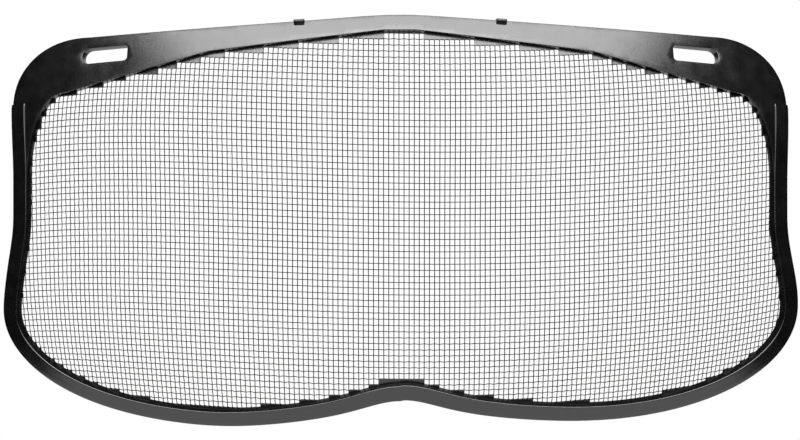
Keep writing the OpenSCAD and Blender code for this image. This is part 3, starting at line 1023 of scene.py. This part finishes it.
def wire_piece(name, lines, crimp, nodes):
    """Runs the wire tree on centre lines and keeps the result as one plain mesh"""
    form, _, screen = settings()
    base = bpy.data.meshes.new(name + "_lines")
    points, edges, crossing, outwards = [], [], [], []
    for line in lines:
        start = len(points)
        for (u, s), phase in line:
            points.append(on_sheet(form, u, s))
            crossing.append(phase)
            outwards += list(outward(form, u, s))
        edges += [(i, i + 1) for i in range(start, len(points) - 1)]
    base.from_pydata(points, edges, [])
    base.attributes.new("crossing", "FLOAT", "POINT").data.foreach_set("value", crossing)
    base.attributes.new("outward", "FLOAT_VECTOR", "POINT").data.foreach_set("vector", outwards)
    source = bpy.data.objects.new(name + "_lines", base)
    bpy.context.scene.collection.objects.link(source)
    tree = woven_wire_tree()
    modifier = source.modifiers.new("Woven Wire", "NODES")
    modifier.node_group = tree
    values = {"Wire Diameter": screen.wire, "Crimp": crimp, "Sides": screen.sides, "Material": coated_wire()}
    for socket in tree.interface.items_tree:
        if socket.in_out == "INPUT" and socket.name in values:
            modifier[socket.identifier] = values[socket.name]
    mesh = bpy.data.meshes.new_from_object(source.evaluated_get(bpy.context.evaluated_depsgraph_get()))
    mesh.name = name
    source.modifiers.remove(modifier)
    bpy.data.objects.remove(source)
    bpy.data.meshes.remove(base)
    if not mesh.polygons:
        raise RuntimeError(name + " came out empty")
    return new_piece(name, mesh, None, nodes)


def quarter_marks(first, last):
    """Quarter points on both sides of every crossing, and the two ends"""
    marks = [first]
    for k in range(math.ceil(first - 0.25), math.floor(last + 0.25) + 1):
        marks += [m for m in (k - 0.25, k + 0.25) if first + 0.05 < m < last - 0.05]
    return marks + [last]


class SHIELD_OT_screen(bpy.types.Operator):
    """Weave the screen: upright wires and cross wires, over and under each other"""

    bl_idname = "shield.screen"
    bl_label = "Screen"

    def spans(self, screen, window, fixed, upright):
        """Runs of one wire inside the window, in whole wires of the other kind"""
        marks = np.arange(-90, 90.01, 0.1) if not upright else np.arange(-38, 32.01, 0.1)
        pairs = [(fixed, m) if upright else (m, fixed) for m in marks]
        ok = inside(window, weave_places(screen, pairs))
        return [(marks[a], marks[b]) for a, b in runs(ok) if b - a > 8]

    def execute(self, context):
        form, sizes, screen = settings()
        window = window_line(form, sizes)
        uprights, crosses = [], []
        reach = screen.hold / screen.row_pitch
        for column in range(-84, 85):
            for first, last in self.spans(screen, window, column, True):
                marks = quarter_marks(first - reach, last + reach)
                uprights.append([(weave_place(screen, column, m), column + m) for m in marks])
        reach = screen.hold / screen.column_pitch
        for row in CELL_ROWS:
            for first, last in self.spans(screen, window, row, False):
                marks = quarter_marks(first - reach, last + reach)
                crosses.append((row, [(weave_place(screen, m, row), row + m + 1) for m in marks]))
        for g in range(10):
            part = uprights[len(uprights) * g // 10 : len(uprights) * (g + 1) // 10]
            node = f"upright_wires_{g + 1:02d}"
            wire_piece(f"woven_uprights_{g + 1:02d}", part, screen.upright_crimp, [node])
        rows = sorted({row for row, _ in crosses})
        for g in range(6):
            mine = set(rows[len(rows) * g // 6 : len(rows) * (g + 1) // 6])
            part = [line for row, line in crosses if row in mine]
            node = f"cross_wires_{g + 1:02d}"
            wire_piece(f"woven_crosses_{g + 1:02d}", part, screen.cross_crimp, [node])
        return {"FINISHED"}


# ---- stage ---------------------------------------------------------------------------


class SHIELD_OT_stage(bpy.types.Operator):
    """Set up the camera, the soft box, the floor and the pale surroundings"""

    bl_idname = "shield.stage"
    bl_label = "Stage"

    def execute(self, context):
        scene, stage = context.scene, context.scene.shield_stage
        data = bpy.data.cameras.new("camera")
        data.lens, data.sensor_width = stage.lens, 36.0
        data.shift_x, data.shift_y = -0.0004, 0.0009
        data.clip_start = 0.01
        camera = bpy.data.objects.new("camera", data)
        camera.location = (0, FRONT_Y - stage.camera_distance, 0)
        camera.rotation_euler = (math.pi / 2, 0, 0)
        scene.collection.objects.link(camera)
        scene.camera = camera

        lamp = bpy.data.lights.new("soft box", "AREA")
        lamp.shape = "RECTANGLE"
        lamp.size, lamp.size_y = stage.lamp_width, stage.lamp_depth
        lamp.energy = stage.lamp_brightness * math.pi * lamp.size * lamp.size_y
        box = bpy.data.objects.new("soft box", lamp)
        away, up, turn = stage.lamp_distance, stage.lamp_height, stage.lamp_turn
        place = Vector((math.sin(turn) * math.cos(up), -math.cos(turn) * math.cos(up), math.sin(up))) * away
        box.location = place
        box.rotation_euler = place.to_track_quat("Z", "Y").to_euler()
        box.visible_camera = False
        scene.collection.objects.link(box)

        bm = bmesh.new()
        bmesh.ops.create_circle(bm, cap_ends=True, segments=96, radius=stage.floor_radius)
        mesh = bpy.data.meshes.new("floor")
        bm.to_mesh(mesh)
        bm.free()
        mesh.transform(Matrix.Translation((0, 0, -stage.floor_drop)))
        mesh.materials.append(floor_paint())
        floor = bpy.data.objects.new("floor", mesh)
        scene.collection.objects.link(floor)

        world = bpy.data.worlds.new("studio")
        world.use_nodes = True
        nodes, links = world.node_tree.nodes, world.node_tree.links
        nodes.clear()
        out = nodes.new("ShaderNodeOutputWorld")
        mix = nodes.new("ShaderNodeMixShader")
        rays = nodes.new("ShaderNodeLightPath")
        dim, pale = nodes.new("ShaderNodeBackground"), nodes.new("ShaderNodeBackground")
        place, parts = nodes.new("ShaderNodeTexCoord"), nodes.new("ShaderNodeSeparateXYZ")
        links.new(place.outputs["Generated"], parts.inputs[0])

        def ramp(axis, start, end, low, high):
            """Climb from one brightness to another along an axis of the direction"""
            node = nodes.new("ShaderNodeMapRange")
            node.interpolation_type = "SMOOTHSTEP"
            links.new(parts.outputs[axis], node.inputs["Value"])
            for name, value in (("From Min", start), ("From Max", end), ("To Min", low), ("To Max", high)):
                node.inputs[name].default_value = value
            return node.outputs["Result"]

        def combined(operation, first, second):
            node = nodes.new("ShaderNodeMath")
            node.operation = operation
            links.new(first, node.inputs[0])
            links.new(second, node.inputs[1])
            return node.outputs[0]

        behind = ramp("Y", 0.5, 0.8, stage.room, stage.backdrop)
        ahead, high = ramp("Y", -0.72, -0.84, 0.0, 1.0), ramp("Z", -0.08, 0.3, 0.0, stage.fill)
        wall = combined("MULTIPLY", ahead, high)
        links.new(combined("ADD", behind, wall), dim.inputs["Strength"])
        pale.inputs["Color"].default_value = (1, 1, 1, 1)
        pale.inputs["Strength"].default_value = 1.0
        links.new(rays.outputs["Is Camera Ray"], mix.inputs["Fac"])
        links.new(dim.outputs["Background"], mix.inputs[1])
        links.new(pale.outputs["Background"], mix.inputs[2])
        links.new(mix.outputs["Shader"], out.inputs["Surface"])
        scene.world = world
        scene.view_settings.view_transform = "Standard"
        return {"FINISHED"}


class SHIELD_PT_panel(bpy.types.Panel):
    """Sizes, colours and makers of the shield's pieces"""

    bl_label = "Mesh Face Shield"
    bl_idname = "SHIELD_PT_panel"
    bl_space_type = "VIEW_3D"
    bl_region_type = "UI"
    bl_category = "Shield"

    def draw(self, context):
        for key in GROUPS:
            group = getattr(context.scene, key)
            box = self.layout.box()
            box.label(text=group.bl_rna.description)
            for name in group.__annotations__:
                box.prop(group, name)
        for maker in MAKERS:
            self.layout.operator(maker.bl_idname)


GROUPS = {
    "shield_form": ShieldForm,
    "shield_moulding": MouldingSizes,
    "shield_screen": ScreenSizes,
    "shield_finish": FinishColours,
    "shield_stage": StageSettings,
}
MAKERS = (
    SHIELD_OT_stage,
    SHIELD_OT_brow_band,
    SHIELD_OT_edge_rim,
    SHIELD_OT_mesh_border,
    SHIELD_OT_catches,
    SHIELD_OT_screen,
)


def register():
    for cls in (*GROUPS.values(), *MAKERS, SHIELD_PT_panel):
        bpy.utils.register_class(cls)
    for name, group in GROUPS.items():
        setattr(bpy.types.Scene, name, PointerProperty(type=group))


def unregister():
    for name in GROUPS:
        delattr(bpy.types.Scene, name)
    for cls in reversed((*GROUPS.values(), *MAKERS, SHIELD_PT_panel)):
        bpy.utils.unregister_class(cls)


def main():
    register()
    bpy.ops.shield.stage()
    bpy.ops.shield.brow_band()
    bpy.ops.shield.edge_rim()
    bpy.ops.shield.mesh_border()
    bpy.ops.shield.catches()
    bpy.ops.shield.screen()


if __name__ == "__main__":
    main()
